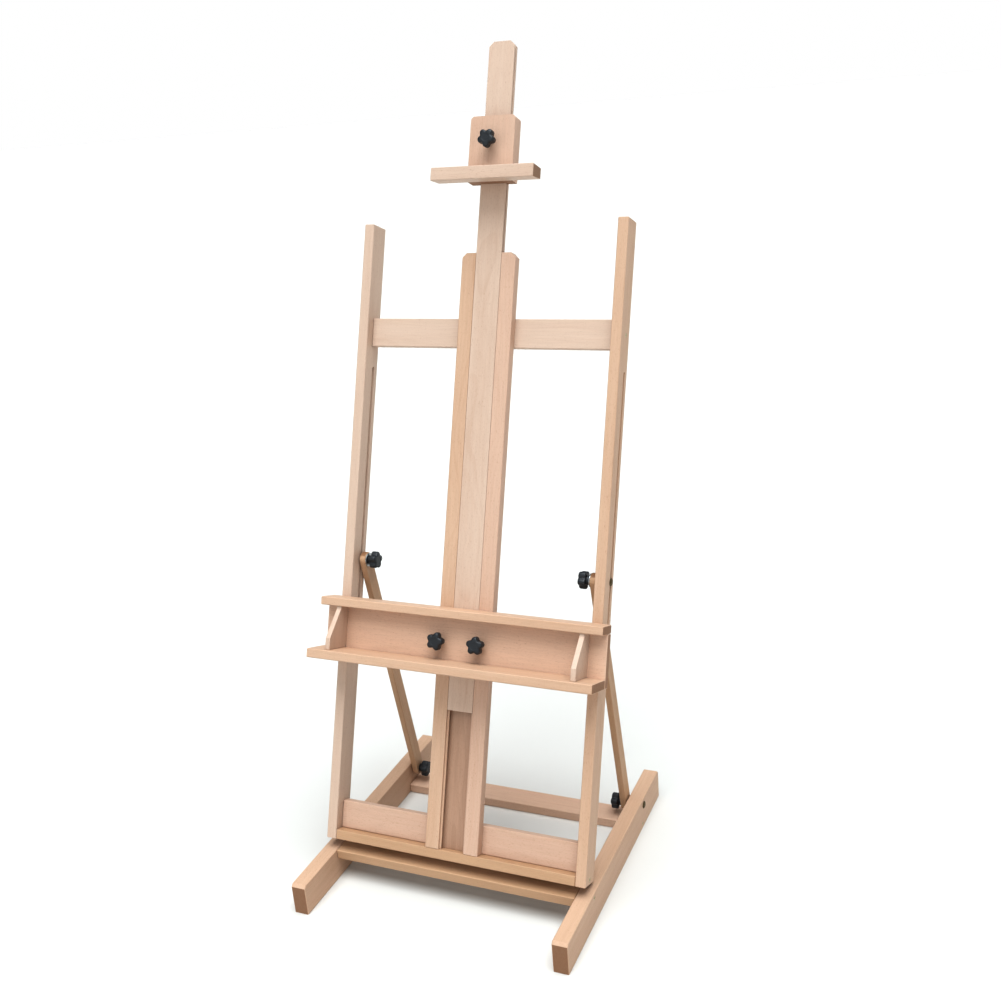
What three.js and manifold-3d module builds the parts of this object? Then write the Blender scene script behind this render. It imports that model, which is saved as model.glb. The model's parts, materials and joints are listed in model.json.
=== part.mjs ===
// Studio easel of beech with an H frame that leans back on two struts, a sliding centre mast
// with a canvas clamp, and a sliding brush tray that carries the canvas ledge.
// Millimetres, +Z up, +X to the right of somebody who stands in front of the easel, front at -Y.
// The origin is on the floor under the middle of the bounding box.

import * as THREE from 'three';
import { mergeVertices } from 'three/addons/utils/BufferGeometryUtils.js';
import Module from 'manifold-3d';

const wasm = await Module();
wasm.setup();

// ---------------------------------------------------------------- driving dimensions

const TILT = THREE.MathUtils.degToRad(20.5); // lean of the frame behind vertical
const GAP = 0.3; // air left between pieces that touch
const EDGE = 1.2; // chamfer on sawn timber edges

// Feet and the two boards between them.
const FOOT_W = 31;
const FOOT_L = 590;
const FOOT_H = 65.5;
const FOOT_INNER_X = 258.2;
const FOOT_FRONT_Y = -364.3;
const FOOT_NOSE = 6; // chamfer on the upper end edges of a foot
const CROSSBAR_T = 20;
const FRONT_BAR_Y = -240;
const FRONT_BAR_D = 50;
const REAR_BAR_Y = 82;
const REAR_BAR_D = 54;
const REAR_SCREW_SHARE = 0.35; // how far back the rear screws sit in their board

// Leaning frame, in its own upright coordinates: Y runs back from the front faces of the
// posts and Z runs up from their lower ends.
const POST_OUTER_X = 280;
const POST_W = 21;
const POST_D = 50;
const POST_L = 1256;
const LEDGE_T = 19.5;
const BOARD_T = 18;
const BOARD_H = 57;
const LOWER_BOARD_H = 56;
const BOARD_SETBACK = 21.3;
const UPPER_BAR_Z = 1010.5;
const SLOT_Y = 34;
const SLOT_W = 8.6;
const SLOT_LOW = 448;
const SLOT_HIGH = 970;
const SLOT_SEGMENTS = 8;

// Guide rails, mast and the strip that closes the channel behind the mast.
const MAST_HALF = 26.9;
const MAST_T = 15;
const MAST_LOW = 295.5;
const MAST_L = 1309.5;
const MAST_CORNER = 9.5;
const CHANNEL_HALF = 27.3;
const RAIL_OUTER = 56.8;
const RAIL_T = 21;
const RAIL_TOP = 1193.5;
const RAIL_CORNER = 9.5;
const STRIP_T = 4.6;
const STRIP_DROP = 2; // strip ends this far below the tops of the rails
const RAIL_CORNER_IN = 2; // the corner cut stays this far clear of the channel
const TONGUE_Y0 = 4.9;
const TONGUE_Y1 = 8.1;
const TONGUE_X = 23.6;
const GROOVE_PLAY = 0.45;

// Butt hinges between the front board and the ledge of the frame.
const HINGE_BACK = 2.8; // pin behind the rear face of the frame and of the board
const HINGE_RISE = 2.9; // pin above the top of the front board
const HINGE_Y = FRONT_BAR_Y + FRONT_BAR_D + HINGE_BACK;
const HINGE_Z = FOOT_H + HINGE_RISE;
const KNUCKLE_R = 2.7;
const PIN_R = 1.2;
const PIN_HOLE_R = 1.5;
const LEAF_W = 60;
const LEAF_D = 18;
const LEAF_T = 1.5;
const LEAF_LIFT = 0.2;
const HINGE_X = 165;
const KNUCKLES = 5;
const KNUCKLE_GAP = 0.4;
const KNUCKLE_SEGMENTS = 12;

// Struts and the bolts they turn on.
const STRUT_T = 13;
const STRUT_W = 30;
const STRUT_OUTER_X = 255.5;
const STRUT_FOOT_Y = 112;
const STRUT_FOOT_Z = 50;
const STRUT_SLOT_Z = 573; // height of the upper bolt along the frame
const STRUT_TOP_HOLE_R = 8.2; // clearance of the open pivot
const BOLT_R = 3;
const BOLT_HOLE_R = 3.4;
const BOLT_HEAD_R = 8;
const BOLT_HEAD_T = 3.2;
const BOLT_DOME = [[0, 1], [0.45, 0.9], [0.82, 0.55], [1, 0]]; // shares of head radius and height
const BOLT_POINT = 1; // chamfer on the threaded end
const BOLT_TIP_X = 224;
const SPACER_R = 9;
const PLATE_WASHER_R = 14;
const PLATE_WASHER_T = 1.8;

// Five lobed clamping knobs.
const KNOB_R = 15.4; // halfway between lobes and hollows
const KNOB_LOBE = 2.3; // how far a lobe rises above that
const KNOB_FULLNESS = 1.5; // above 1, lobes are wide and the hollows between them narrow
const KNOB_LOBES = 5;
const KNOB_T = 16.2;
const KNOB_ROUND = 3;
const KNOB_HUB_R = 9;
const KNOB_HUB_T = 6;
const KNOB_STEPS = 50;
const STUD_R = 4;
const STUD_BORE = 16; // depth of the bore for a stud
const STUD_IN_KNOB = 14; // how deep a stud sits in its knob
const STUD_SHORT = 0.5; // air left between a stud and the timber it presses on
const KNOB_STAND_OFF = 9; // from the timber to the hub of a front knob

// Brush tray with the canvas ledge on top.
const TRAY_HALF = 298;
const TRAY_LOW = 378.5;
const TRAY_BOARD_T = 18;
const TRAY_BACK_H = 101.8;
const TRAY_FLOOR_T = 18;
const TRAY_FRONT_Y = -94;
const CANVAS_LEDGE_Y = -51;
const CANVAS_LEDGE_T = 16.5;
const DIVIDER_X = 257.2;
const DIVIDER_T = 10;
const DIVIDER_TOP_D = 29;
const DIVIDER_FOOT_D = 65;
const DIVIDER_NOSE_H = 23;
const DIVIDER_TOP_H = 5; // upright part of the front edge at the top
const TRAY_KNOB_X = 42.2;
const TRAY_KNOB_Z = 433;
const LEFT_KNOB_TURN = (75 * Math.PI) / 180; // the right one points straight up
const HOOK_LOW = 395;
const HOOK_H = 70;
const HOOK_OUTER = 73;
const HOOK_INNER = 40;
const HOOK_LIP_T = 10;

// Upper canvas clamp that slides on the mast.
const CLAMP_HALF = 47;
const CLAMP_LOW = 1327.4;
const CLAMP_H = 126.6;
const CLAMP_FRONT_T = 21;
const CLAMP_CORNER = 9;
const CLAMP_KNOB_Z = 1403.5;
const CLAMP_LEDGE_HALF = 107;
const CLAMP_LEDGE_D = 40;
const CLAMP_LEDGE_T = 25.4;
const CLAMP_LEDGE_DROP = 5.6; // front lower edge below the block
const CLAMP_LEDGE_RISE = 4.4; // underside slopes up this much to the back

// Countersunk wood screws.
const SCREW_R = 2;
const SCREW_HEAD_R = 4.2;
const SCREW_L = 52;
const SCREW_CONE = 3;
const SCREW_PLAY = 0.3;
const SCREW_RIM = 0.5; // straight rim of the head above its cone
const SCREW_TIP = 4;
const SCREW_SEGMENTS = 16;

const SEGMENTS = 20;
const OVER = 1; // how far a cutting tool reaches past what it cuts

// ---------------------------------------------------------------- materials

function material(color, roughness, metalness) {
  return new THREE.MeshStandardMaterial({ color, roughness, metalness });
}

const BEECH = material(0xdcb896, 0.6, 0);
const BEECH_RED = material(0xd6ab88, 0.62, 0);
const BLACK = material(0x1c1e20, 0.45, 0);
const STEEL = material(0x9fa2a3, 0.4, 0.85);
const ZINC = material(0xb7b39d, 0.42, 0.8);

// ---------------------------------------------------------------- solid helpers

// Closed mesh to solid, for joining and cutting.
function toSolid(geometry) {
  const bare = geometry.clone();
  bare.deleteAttribute('normal');
  bare.deleteAttribute('uv');
  const merged = mergeVertices(bare, 1e-4);
  const vertProperties = new Float32Array(merged.attributes.position.array);
  const triVerts = new Uint32Array(merged.index.array);
  return new wasm.Manifold(new wasm.Mesh({ numProp: 3, vertProperties, triVerts }));
}

function toGeometry(solid) {
  const result = solid.getMesh();
  const geometry = new THREE.BufferGeometry();
  geometry.setAttribute('position', new THREE.BufferAttribute(result.vertProperties, 3));
  geometry.setIndex(new THREE.BufferAttribute(result.triVerts, 1));
  geometry.computeVertexNormals();
  return geometry;
}

function cut(base, ...tools) {
  return toGeometry(tools.reduce((rest, tool) => rest.subtract(toSolid(tool)), toSolid(base)));
}

function join(base, ...others) {
  return toGeometry(others.reduce((sum, other) => sum.add(toSolid(other)), toSolid(base)));
}

function common(a, b) {
  return toGeometry(toSolid(a).intersect(toSolid(b)));
}

function outline(points) {
  const shape = new THREE.Shape();
  shape.moveTo(points[0][0], points[0][1]);
  points.slice(1).forEach(([a, b]) => shape.lineTo(a, b));
  shape.closePath();
  return shape;
}

function prism(shape, depth) {
  return new THREE.ExtrudeGeometry(shape, { depth, bevelEnabled: false, curveSegments: SEGMENTS });
}

// Rectangle with its corners cut off, centred on the origin.
function cutRectangle(width, height, corner) {
  const a = width / 2;
  const b = height / 2;
  return outline([
    [-a + corner, -b], [a - corner, -b], [a, -b + corner], [a, b - corner],
    [a - corner, b], [-a + corner, b], [-a, b - corner], [-a, -b + corner],
  ]);
}

// Box from its lower to its upper corner.
function block(x0, x1, y0, y1, z0, z1) {
  const box = new THREE.BoxGeometry(x1 - x0, y1 - y0, z1 - z0);
  return box.translate((x0 + x1) / 2, (y0 + y1) / 2, (z0 + z1) / 2);
}

// Sawn board between two corners, every edge chamfered, long way along the given axis.
function board(x0, x1, y0, y1, z0, z1, along) {
  const size = { x: x1 - x0, y: y1 - y0, z: z1 - z0 };
  const across = { x: ['z', 'y'], y: ['x', 'z'], z: ['x', 'y'] }[along];
  const inner = cutRectangle(size[across[0]] - 2 * EDGE, size[across[1]] - 2 * EDGE, EDGE / 2);
  const depth = size[along] - 2 * EDGE;
  const geometry = new THREE.ExtrudeGeometry(inner, {
    depth, bevelEnabled: true, bevelSize: EDGE, bevelThickness: EDGE, bevelSegments: 1,
  });
  geometry.translate(0, 0, -depth / 2);
  if (along === 'x') geometry.rotateY(Math.PI / 2);
  if (along === 'y') geometry.rotateX(Math.PI / 2);
  return geometry.translate((x0 + x1) / 2, (y0 + y1) / 2, (z0 + z1) / 2);
}

// Round bar along X from x0 to x1.
function barX(radius, x0, x1, y = 0, z = 0, segments = SEGMENTS) {
  const bar = new THREE.CylinderGeometry(radius, radius, x1 - x0, segments);
  return bar.rotateZ(Math.PI / 2).translate((x0 + x1) / 2, y, z);
}

// Round bar along Y from y0 to y1.
function barY(radius, y0, y1, x = 0, z = 0, segments = SEGMENTS) {
  return new THREE.CylinderGeometry(radius, radius, y1 - y0, segments).translate(x, (y0 + y1) / 2, z);
}

// Turned piece from [radius, height] pairs; the profile starts and ends on the axis.
function turned(profile, segments = SEGMENTS) {
  return new THREE.LatheGeometry(profile.map(([r, h]) => new THREE.Vector2(r, h)), segments);
}

function piece(name, geometry, look) {
  const mesh = new THREE.Mesh(geometry, look);
  mesh.name = name;
  return mesh;
}

// Mirrors a geometry built for the right hand side over to the left.
function mirrored(geometry) {
  const copy = geometry.index ? geometry.toNonIndexed() : geometry.clone();
  const position = copy.attributes.position;
  for (let i = 0; i < position.count; i += 3) {
    const ax = position.getX(i + 1);
    const ay = position.getY(i + 1);
    const az = position.getZ(i + 1);
    position.setXYZ(i + 1, position.getX(i + 2), position.getY(i + 2), position.getZ(i + 2));
    position.setXYZ(i + 2, ax, ay, az);
  }
  copy.scale(-1, 1, 1);
  return mergeVertices(copyPosition(copy), 1e-4);
}

function copyPosition(geometry) {
  const bare = new THREE.BufferGeometry();
  bare.setAttribute('position', geometry.attributes.position);
  return bare;
}

// Adds a right hand piece and its mirror image under the names right_* and left_*.
function addPair(group, name, geometry, look) {
  group.add(piece(`right_${name}`, geometry, look));
  group.add(piece(`left_${name}`, mirrored(geometry), look));
}

// ---------------------------------------------------------------- fasteners

// Countersunk screw that enters from the right at x and points to the left.
function screw(x, y, z) {
  const profile = [
    [0, 0], [SCREW_HEAD_R, 0], [SCREW_HEAD_R, -SCREW_RIM], [SCREW_R, -SCREW_CONE],
    [SCREW_R, -SCREW_L + SCREW_TIP], [0, -SCREW_L],
  ];
  return turned(profile.reverse(), SCREW_SEGMENTS).rotateZ(-Math.PI / 2).translate(x - GAP, y, z);
}

// Space that the screw takes in the timber.
function screwHole(x, y, z) {
  const play = SCREW_PLAY;
  const profile = [
    [0, OVER], [SCREW_HEAD_R + play, OVER], [SCREW_HEAD_R + play, -2 * SCREW_RIM],
    [SCREW_R + play, -SCREW_CONE - OVER],
    [SCREW_R + play, -SCREW_L - play], [0, -SCREW_L - play],
  ];
  return turned(profile.reverse(), SCREW_SEGMENTS).rotateZ(-Math.PI / 2).translate(x, y, z);
}

// Bolt with a domed head outside and its threaded end towards the middle of the easel.
function bolt(headX, y, z) {
  const length = headX - BOLT_TIP_X;
  const profile = [
    ...BOLT_DOME.map(([r, h]) => [r * BOLT_HEAD_R, h * BOLT_HEAD_T]),
    [BOLT_R, 0], [BOLT_R, -length + BOLT_POINT], [BOLT_R - BOLT_POINT, -length], [0, -length],
  ];
  return turned(profile.reverse()).rotateZ(-Math.PI / 2).translate(headX, y, z);
}

// Flat ring along X between x0 and x1.
function washer(radius, hole, x0, x1, y, z) {
  return cut(barX(radius, x0, x1, y, z), barX(hole, x0 - OVER, x1 + OVER, y, z));
}

// ---------------------------------------------------------------- knobs

// Star knob on the Z axis: hub face at z = 0 and the lobed head above it.
// depth is how deep the bolt goes into it and hole the radius of that bore.
function knob(hole, depth, turn) {
  const points = [];
  for (let i = 0; i < KNOB_STEPS; i += 1) {
    const angle = (i / KNOB_STEPS) * 2 * Math.PI;
    const hollow = (1 - Math.cos(KNOB_LOBES * (angle - turn))) / 2;
    const r = KNOB_R - KNOB_ROUND + KNOB_LOBE * (1 - 2 * hollow ** KNOB_FULLNESS);
    points.push([r * Math.cos(angle), r * Math.sin(angle)]);
  }
  const head = new THREE.ExtrudeGeometry(outline(points), {
    depth: KNOB_T - 2 * KNOB_ROUND,
    bevelEnabled: true,
    bevelSize: KNOB_ROUND,
    bevelThickness: KNOB_ROUND,
    bevelSegments: 2,
  });
  head.translate(0, 0, KNOB_HUB_T + KNOB_ROUND);
  const hub = new THREE.CylinderGeometry(KNOB_HUB_R, KNOB_HUB_R, KNOB_HUB_T + OVER, SEGMENTS);
  hub.rotateX(Math.PI / 2).translate(0, 0, (KNOB_HUB_T + OVER) / 2);
  const bore = new THREE.CylinderGeometry(hole, hole, depth + OVER, SEGMENTS);
  bore.rotateX(Math.PI / 2).translate(0, 0, (depth - OVER) / 2);
  return cut(join(head, hub), bore);
}

// Knob whose bolt runs along X; the head points to the middle of the easel.
function sideKnob(hubX, y, z, turn) {
  const depth = hubX - BOLT_TIP_X + OVER;
  return knob(BOLT_HOLE_R, depth, turn).rotateY(-Math.PI / 2).translate(hubX, y, z);
}

// Knob whose stud runs back along Y; the head points to the front.
function frontKnob(x, hubY, z, turn) {
  return knob(STUD_R + GAP, STUD_BORE, turn).rotateX(Math.PI / 2).translate(x, hubY, z);
}

// ---------------------------------------------------------------- base

function foot() {
  const x0 = FOOT_INNER_X;
  const y0 = FOOT_FRONT_Y;
  const y1 = FOOT_FRONT_Y + FOOT_L;
  const profile = outline([
    [y0 + EDGE, EDGE], [y1 - EDGE, EDGE], [y1 - EDGE, FOOT_H - FOOT_NOSE], [y1 - FOOT_NOSE, FOOT_H - EDGE],
    [y0 + FOOT_NOSE, FOOT_H - EDGE], [y0 + EDGE, FOOT_H - FOOT_NOSE],
  ]);
  const beam = new THREE.ExtrudeGeometry(profile, {
    depth: FOOT_W - 2 * EDGE, bevelEnabled: true, bevelSize: EDGE, bevelThickness: EDGE, bevelSegments: 1,
  });
  beam.rotateY(Math.PI / 2).rotateX(Math.PI / 2).translate(x0 + EDGE, 0, 0);
  const outer = FOOT_INNER_X + FOOT_W;
  const boltHole = barX(BOLT_HOLE_R, x0 - OVER, outer + OVER, STRUT_FOOT_Y, STRUT_FOOT_Z);
  const holes = crossbarScrews().map(([y, z]) => screwHole(outer, y, z));
  return cut(beam, boltHole, ...holes);
}

// Where the screws through a foot enter the ends of the two boards.
function crossbarScrews() {
  return [
    [FRONT_BAR_Y + FRONT_BAR_D / 2, FOOT_H - CROSSBAR_T / 2],
    [REAR_BAR_Y + REAR_BAR_D * REAR_SCREW_SHARE, CROSSBAR_T / 2],
  ];
}

function crossbar(y, depth, z, screwAt) {
  const half = FOOT_INNER_X - GAP;
  const beam = board(-half, half, y, y + depth, z, z + CROSSBAR_T, 'x');
  const hole = screwHole(FOOT_INNER_X + FOOT_W, ...screwAt);
  return cut(beam, hole, mirrored(hole));
}

// One leaf of a butt hinge, pin axis on the X axis, plate towards -Y at height z0 to z1.
function leaf(z0, z1, first) {
  const pitch = LEAF_W / KNUCKLES;
  const half = (pitch - KNUCKLE_GAP) / 2;
  const plateEnd = -KNUCKLE_R - GAP;
  let geometry = block(-LEAF_W / 2, LEAF_W / 2, -LEAF_D, plateEnd, z0, z1);
  for (let i = first; i < KNUCKLES; i += 2) {
    const x = -LEAF_W / 2 + pitch * (i + 0.5);
    const tab = block(x - half, x + half, plateEnd - OVER, 0, z0, z1);
    geometry = join(geometry, tab, barX(KNUCKLE_R, x - half, x + half, 0, 0, KNUCKLE_SEGMENTS));
  }
  return cut(geometry, barX(PIN_HOLE_R, -LEAF_W, LEAF_W, 0, 0, KNUCKLE_SEGMENTS));
}

function base() {
  const group = new THREE.Group();
  addPair(group, 'foot', foot(), BEECH);
  const [frontScrew, rearScrew] = crossbarScrews();
  const frontBar = crossbar(FRONT_BAR_Y, FRONT_BAR_D, FOOT_H - CROSSBAR_T, frontScrew);
  group.add(piece('front_crossbar', frontBar, BEECH_RED));
  group.add(piece('rear_crossbar', crossbar(REAR_BAR_Y, REAR_BAR_D, 0, rearScrew), BEECH_RED));
  const outer = FOOT_INNER_X + FOOT_W;
  addPair(group, 'front_crossbar_screw', screw(outer, ...frontScrew), ZINC);
  addPair(group, 'rear_crossbar_screw', screw(outer, ...rearScrew), ZINC);
  addPair(group, 'foot_bolt', bolt(outer + GAP, STRUT_FOOT_Y, STRUT_FOOT_Z), STEEL);
  const spacerX = [STRUT_OUTER_X + GAP, FOOT_INNER_X - GAP];
  const spacer = washer(SPACER_R, BOLT_HOLE_R, ...spacerX, STRUT_FOOT_Y, STRUT_FOOT_Z);
  addPair(group, 'foot_spacer_washer', spacer, STEEL);
  const top = -HINGE_RISE + LEAF_LIFT;
  const lowerLeaf = leaf(top, top + LEAF_T, 0);
  lowerLeaf.translate(HINGE_X, HINGE_Y, HINGE_Z);
  addPair(group, 'hinge_lower_leaf', lowerLeaf, ZINC);
  const pin = barX(PIN_R, -LEAF_W / 2, LEAF_W / 2, 0, 0, KNUCKLE_SEGMENTS);
  pin.translate(HINGE_X, HINGE_Y, HINGE_Z);
  addPair(group, 'hinge_pin', pin, STEEL);
  return group;
}

// ---------------------------------------------------------------- leaning frame

function post() {
  const x0 = POST_OUTER_X - POST_W;
  const beam = board(x0, POST_OUTER_X, 0, POST_D, 0, POST_L, 'z');
  const slot = new THREE.Shape();
  slot.absarc(SLOT_Y, SLOT_HIGH - SLOT_W / 2, SLOT_W / 2, 0, Math.PI, false);
  slot.absarc(SLOT_Y, SLOT_LOW + SLOT_W / 2, SLOT_W / 2, Math.PI, 2 * Math.PI, false);
  slot.closePath();
  const tool = new THREE.ExtrudeGeometry(slot, {
    depth: POST_W + 2 * OVER, bevelEnabled: false, curveSegments: SLOT_SEGMENTS,
  });
  tool.rotateY(Math.PI / 2).rotateX(Math.PI / 2).translate(x0 - OVER, 0, 0);
  return cut(beam, tool, ...frameScrews().map(([y, z]) => screwHole(POST_OUTER_X, y, z)));
}

// Where the screws through a post enter the upper board and the ledge.
function frameScrews() {
  return [
    [BOARD_SETBACK + BOARD_T / 2, UPPER_BAR_Z + BOARD_H / 2],
    [POST_D / 2, LEDGE_T / 2],
  ];
}

function frameBoard(y0, y1, z0, z1, screwAt) {
  const half = POST_OUTER_X - POST_W - GAP;
  const beam = board(-half, half, y0, y1, z0, z1, 'x');
  if (!screwAt) return beam;
  const hole = screwHole(POST_OUTER_X, ...screwAt);
  return cut(beam, hole, mirrored(hole));
}

// Guide rail with the tongue that runs in the side groove of the mast.
function guideRail() {
  const section = outline([
    [CHANNEL_HALF, 0], [RAIL_OUTER - EDGE, 0], [RAIL_OUTER, EDGE], [RAIL_OUTER, RAIL_T],
    [CHANNEL_HALF, RAIL_T], [CHANNEL_HALF, TONGUE_Y1], [TONGUE_X, TONGUE_Y1],
    [TONGUE_X, TONGUE_Y0], [CHANNEL_HALF, TONGUE_Y0],
  ]);
  const z0 = LEDGE_T + GAP;
  const rail = prism(section, RAIL_TOP - z0).translate(0, 0, z0);
  const inner = CHANNEL_HALF + RAIL_CORNER_IN;
  const corner = outline([
    [RAIL_OUTER - RAIL_CORNER, RAIL_TOP], [RAIL_OUTER + OVER, RAIL_TOP - RAIL_CORNER - OVER],
    [RAIL_OUTER + RAIL_CORNER, RAIL_TOP + RAIL_CORNER], [inner, RAIL_TOP + RAIL_CORNER],
    [inner, RAIL_TOP],
  ]);
  const tool = prism(corner, RAIL_T + 2 * OVER).rotateX(Math.PI / 2);
  return cut(rail, tool.translate(0, RAIL_T + OVER, 0));
}

function frame() {
  const group = new THREE.Group();
  addPair(group, 'post', post(), BEECH);
  const [upperScrew, ledgeScrew] = frameScrews();
  const boardY = [BOARD_SETBACK, BOARD_SETBACK + BOARD_T];
  const upper = frameBoard(...boardY, UPPER_BAR_Z, UPPER_BAR_Z + BOARD_H, upperScrew);
  group.add(piece('upper_crossbar', upper, BEECH));
  const low = LEDGE_T + GAP;
  group.add(piece('lower_cross_board', frameBoard(...boardY, low, low + LOWER_BOARD_H, null), BEECH_RED));
  group.add(piece('bottom_ledge', frameBoard(0, POST_D, 0, LEDGE_T, ledgeScrew), BEECH));
  addPair(group, 'guide_rail', guideRail(), BEECH);
  const stripX = CHANNEL_HALF - GAP;
  const strip = block(-stripX, stripX, RAIL_T - STRIP_T, RAIL_T, low, RAIL_TOP - STRIP_DROP);
  group.add(piece('channel_back_strip', strip, BEECH_RED));
  addPair(group, 'upper_crossbar_screw', screw(POST_OUTER_X, ...upperScrew), ZINC);
  addPair(group, 'ledge_screw', screw(POST_OUTER_X, ...ledgeScrew), ZINC);
  const bottom = HINGE_RISE - LEAF_LIFT;
  const upperLeaf = leaf(bottom - LEAF_T, bottom, 1);
  upperLeaf.translate(HINGE_X, POST_D + HINGE_BACK, -HINGE_RISE);
  addPair(group, 'hinge_upper_leaf', upperLeaf, ZINC);
  return group;
}

// ---------------------------------------------------------------- struts

// Strut between the bolt in the foot and the bolt in the slot, upright with its foot at z = 0.
function strut(length) {
  const r = STRUT_W / 2 - EDGE;
  const shape = new THREE.Shape();
  shape.absarc(0, length, r, 0, Math.PI, false);
  shape.absarc(0, 0, r, Math.PI, 2 * Math.PI, false);
  shape.closePath();
  const bar = new THREE.ExtrudeGeometry(shape, {
    depth: STRUT_T - 2 * EDGE,
    bevelEnabled: true,
    bevelSize: EDGE,
    bevelThickness: EDGE,
    bevelSegments: 1,
    curveSegments: 10,
  });
  bar.rotateY(Math.PI / 2).rotateX(Math.PI / 2).translate(STRUT_OUTER_X - STRUT_T + EDGE, 0, 0);
  const x = [STRUT_OUTER_X - STRUT_T - OVER, STRUT_OUTER_X + OVER];
  return cut(bar, barX(BOLT_HOLE_R, ...x), barX(STRUT_TOP_HOLE_R, ...x, 0, length));
}

// Position on the floor frame of a point of the leaning frame.
function leaning(y, z) {
  const dy = y - POST_D - HINGE_BACK;
  const dz = z + HINGE_RISE;
  const c = Math.cos(TILT);
  const s = Math.sin(TILT);
  return [HINGE_Y + dy * c + dz * s, HINGE_Z - dy * s + dz * c];
}

function struts() {
  const group = new THREE.Group();
  const [topY, topZ] = leaning(SLOT_Y, STRUT_SLOT_Z);
  const dy = topY - STRUT_FOOT_Y;
  const dz = topZ - STRUT_FOOT_Z;
  addPair(group, 'strut', strut(Math.hypot(dy, dz)), BEECH);
  group.rotation.x = Math.atan2(-dy, dz);
  group.position.set(0, STRUT_FOOT_Y, STRUT_FOOT_Z);
  return group;
}

function footKnobs() {
  const group = new THREE.Group();
  const hubX = STRUT_OUTER_X - STRUT_T - GAP;
  addPair(group, 'foot_knob', sideKnob(hubX, STRUT_FOOT_Y, STRUT_FOOT_Z, Math.PI / 10), BLACK);
  return group;
}

// Bolt, washers and knob in the slot of each post, carried by the frame.
function slotClamps() {
  const group = new THREE.Group();
  const y = SLOT_Y;
  const z = STRUT_SLOT_Z;
  addPair(group, 'slot_bolt', bolt(POST_OUTER_X + GAP, y, z), STEEL);
  const spacer = washer(SPACER_R, BOLT_HOLE_R, STRUT_OUTER_X + GAP, POST_OUTER_X - POST_W - GAP, y, z);
  addPair(group, 'slot_spacer_washer', spacer, STEEL);
  const washerX = STRUT_OUTER_X - STRUT_T - GAP;
  const plate = washer(PLATE_WASHER_R, BOLT_HOLE_R, washerX - PLATE_WASHER_T, washerX, y, z);
  addPair(group, 'slot_plate_washer', plate, STEEL);
  const hubX = washerX - PLATE_WASHER_T - GAP;
  addPair(group, 'slot_knob', sideKnob(hubX, y, z, 0), BLACK);
  return group;
}

// ---------------------------------------------------------------- mast and clamp

function mast() {
  const g0 = TONGUE_Y0 - GROOVE_PLAY;
  const g1 = TONGUE_Y1 + GROOVE_PLAY;
  const gx = TONGUE_X - GROOVE_PLAY;
  const a = MAST_HALF;
  const section = outline([
    [-a, 0], [a, 0], [a, g0], [gx, g0], [gx, g1], [a, g1], [a, MAST_T],
    [-a, MAST_T], [-a, g1], [-gx, g1], [-gx, g0], [-a, g0],
  ]);
  const bar = prism(section, MAST_L);
  const c = MAST_CORNER;
  const face = outline([
    [-a - OVER, -OVER], [a + OVER, -OVER], [a + OVER, MAST_L - c - OVER], [a - c, MAST_L],
    [-a + c, MAST_L], [-a - OVER, MAST_L - c - OVER],
  ]);
  const envelope = prism(face, MAST_T + 2 * OVER).rotateX(Math.PI / 2).translate(0, MAST_T + OVER, 0);
  const mesh = piece('mast', common(bar, envelope), BEECH);
  mesh.position.z = MAST_LOW;
  return mesh;
}

// Block that hooks into both grooves of the mast.
function clampBlock() {
  const a = CLAMP_HALF;
  const front = -CLAMP_FRONT_T;
  const y0 = TONGUE_Y0;
  const y1 = TONGUE_Y1;
  const section = outline([
    [-a + EDGE, front], [a - EDGE, front], [a, front + EDGE], [a, y1], [TONGUE_X, y1], [TONGUE_X, y0],
    [CHANNEL_HALF, y0], [CHANNEL_HALF, -GAP], [-CHANNEL_HALF, -GAP], [-CHANNEL_HALF, y0],
    [-TONGUE_X, y0], [-TONGUE_X, y1], [-a, y1], [-a, front + EDGE],
  ]);
  const body = prism(section, CLAMP_H);
  const r = CLAMP_CORNER;
  const face = new THREE.Shape();
  face.moveTo(-a, 0);
  face.lineTo(a, 0);
  face.absarc(a - r, CLAMP_H - r, r, 0, Math.PI / 2, false);
  face.absarc(-a + r, CLAMP_H - r, r, Math.PI / 2, Math.PI, false);
  face.closePath();
  const deep = CLAMP_FRONT_T + MAST_T;
  const envelope = new THREE.ExtrudeGeometry(face, { depth: deep, bevelEnabled: false, curveSegments: 6 });
  envelope.rotateX(Math.PI / 2).translate(0, MAST_T - OVER, 0);
  const hole = barY(STUD_R + GAP, front - OVER, OVER, 0, CLAMP_KNOB_Z - CLAMP_LOW);
  return cut(common(body, envelope), hole);
}

// Bar that presses on the upper edge of a canvas; its underside slopes down to the front.
function clampLedge() {
  const a = CLAMP_LEDGE_HALF;
  const y1 = -CLAMP_FRONT_T - GAP;
  const y0 = y1 - CLAMP_LEDGE_D;
  const z0 = CLAMP_LOW - CLAMP_LEDGE_DROP;
  const bar = board(-a, a, y0, y1, z0, z0 + CLAMP_LEDGE_T, 'x');
  const slope = CLAMP_LEDGE_RISE / CLAMP_LEDGE_D;
  const below = outline([
    [y0 - OVER, z0 - CLAMP_LEDGE_T], [y1 + OVER, z0 - CLAMP_LEDGE_T],
    [y1 + OVER, z0 + CLAMP_LEDGE_RISE + slope * OVER], [y0 - OVER, z0 - slope * OVER],
  ]);
  const tool = prism(below, 2 * a + 2 * OVER).rotateY(Math.PI / 2).rotateX(Math.PI / 2);
  return cut(bar, tool.translate(-a - OVER, 0, 0));
}

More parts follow.
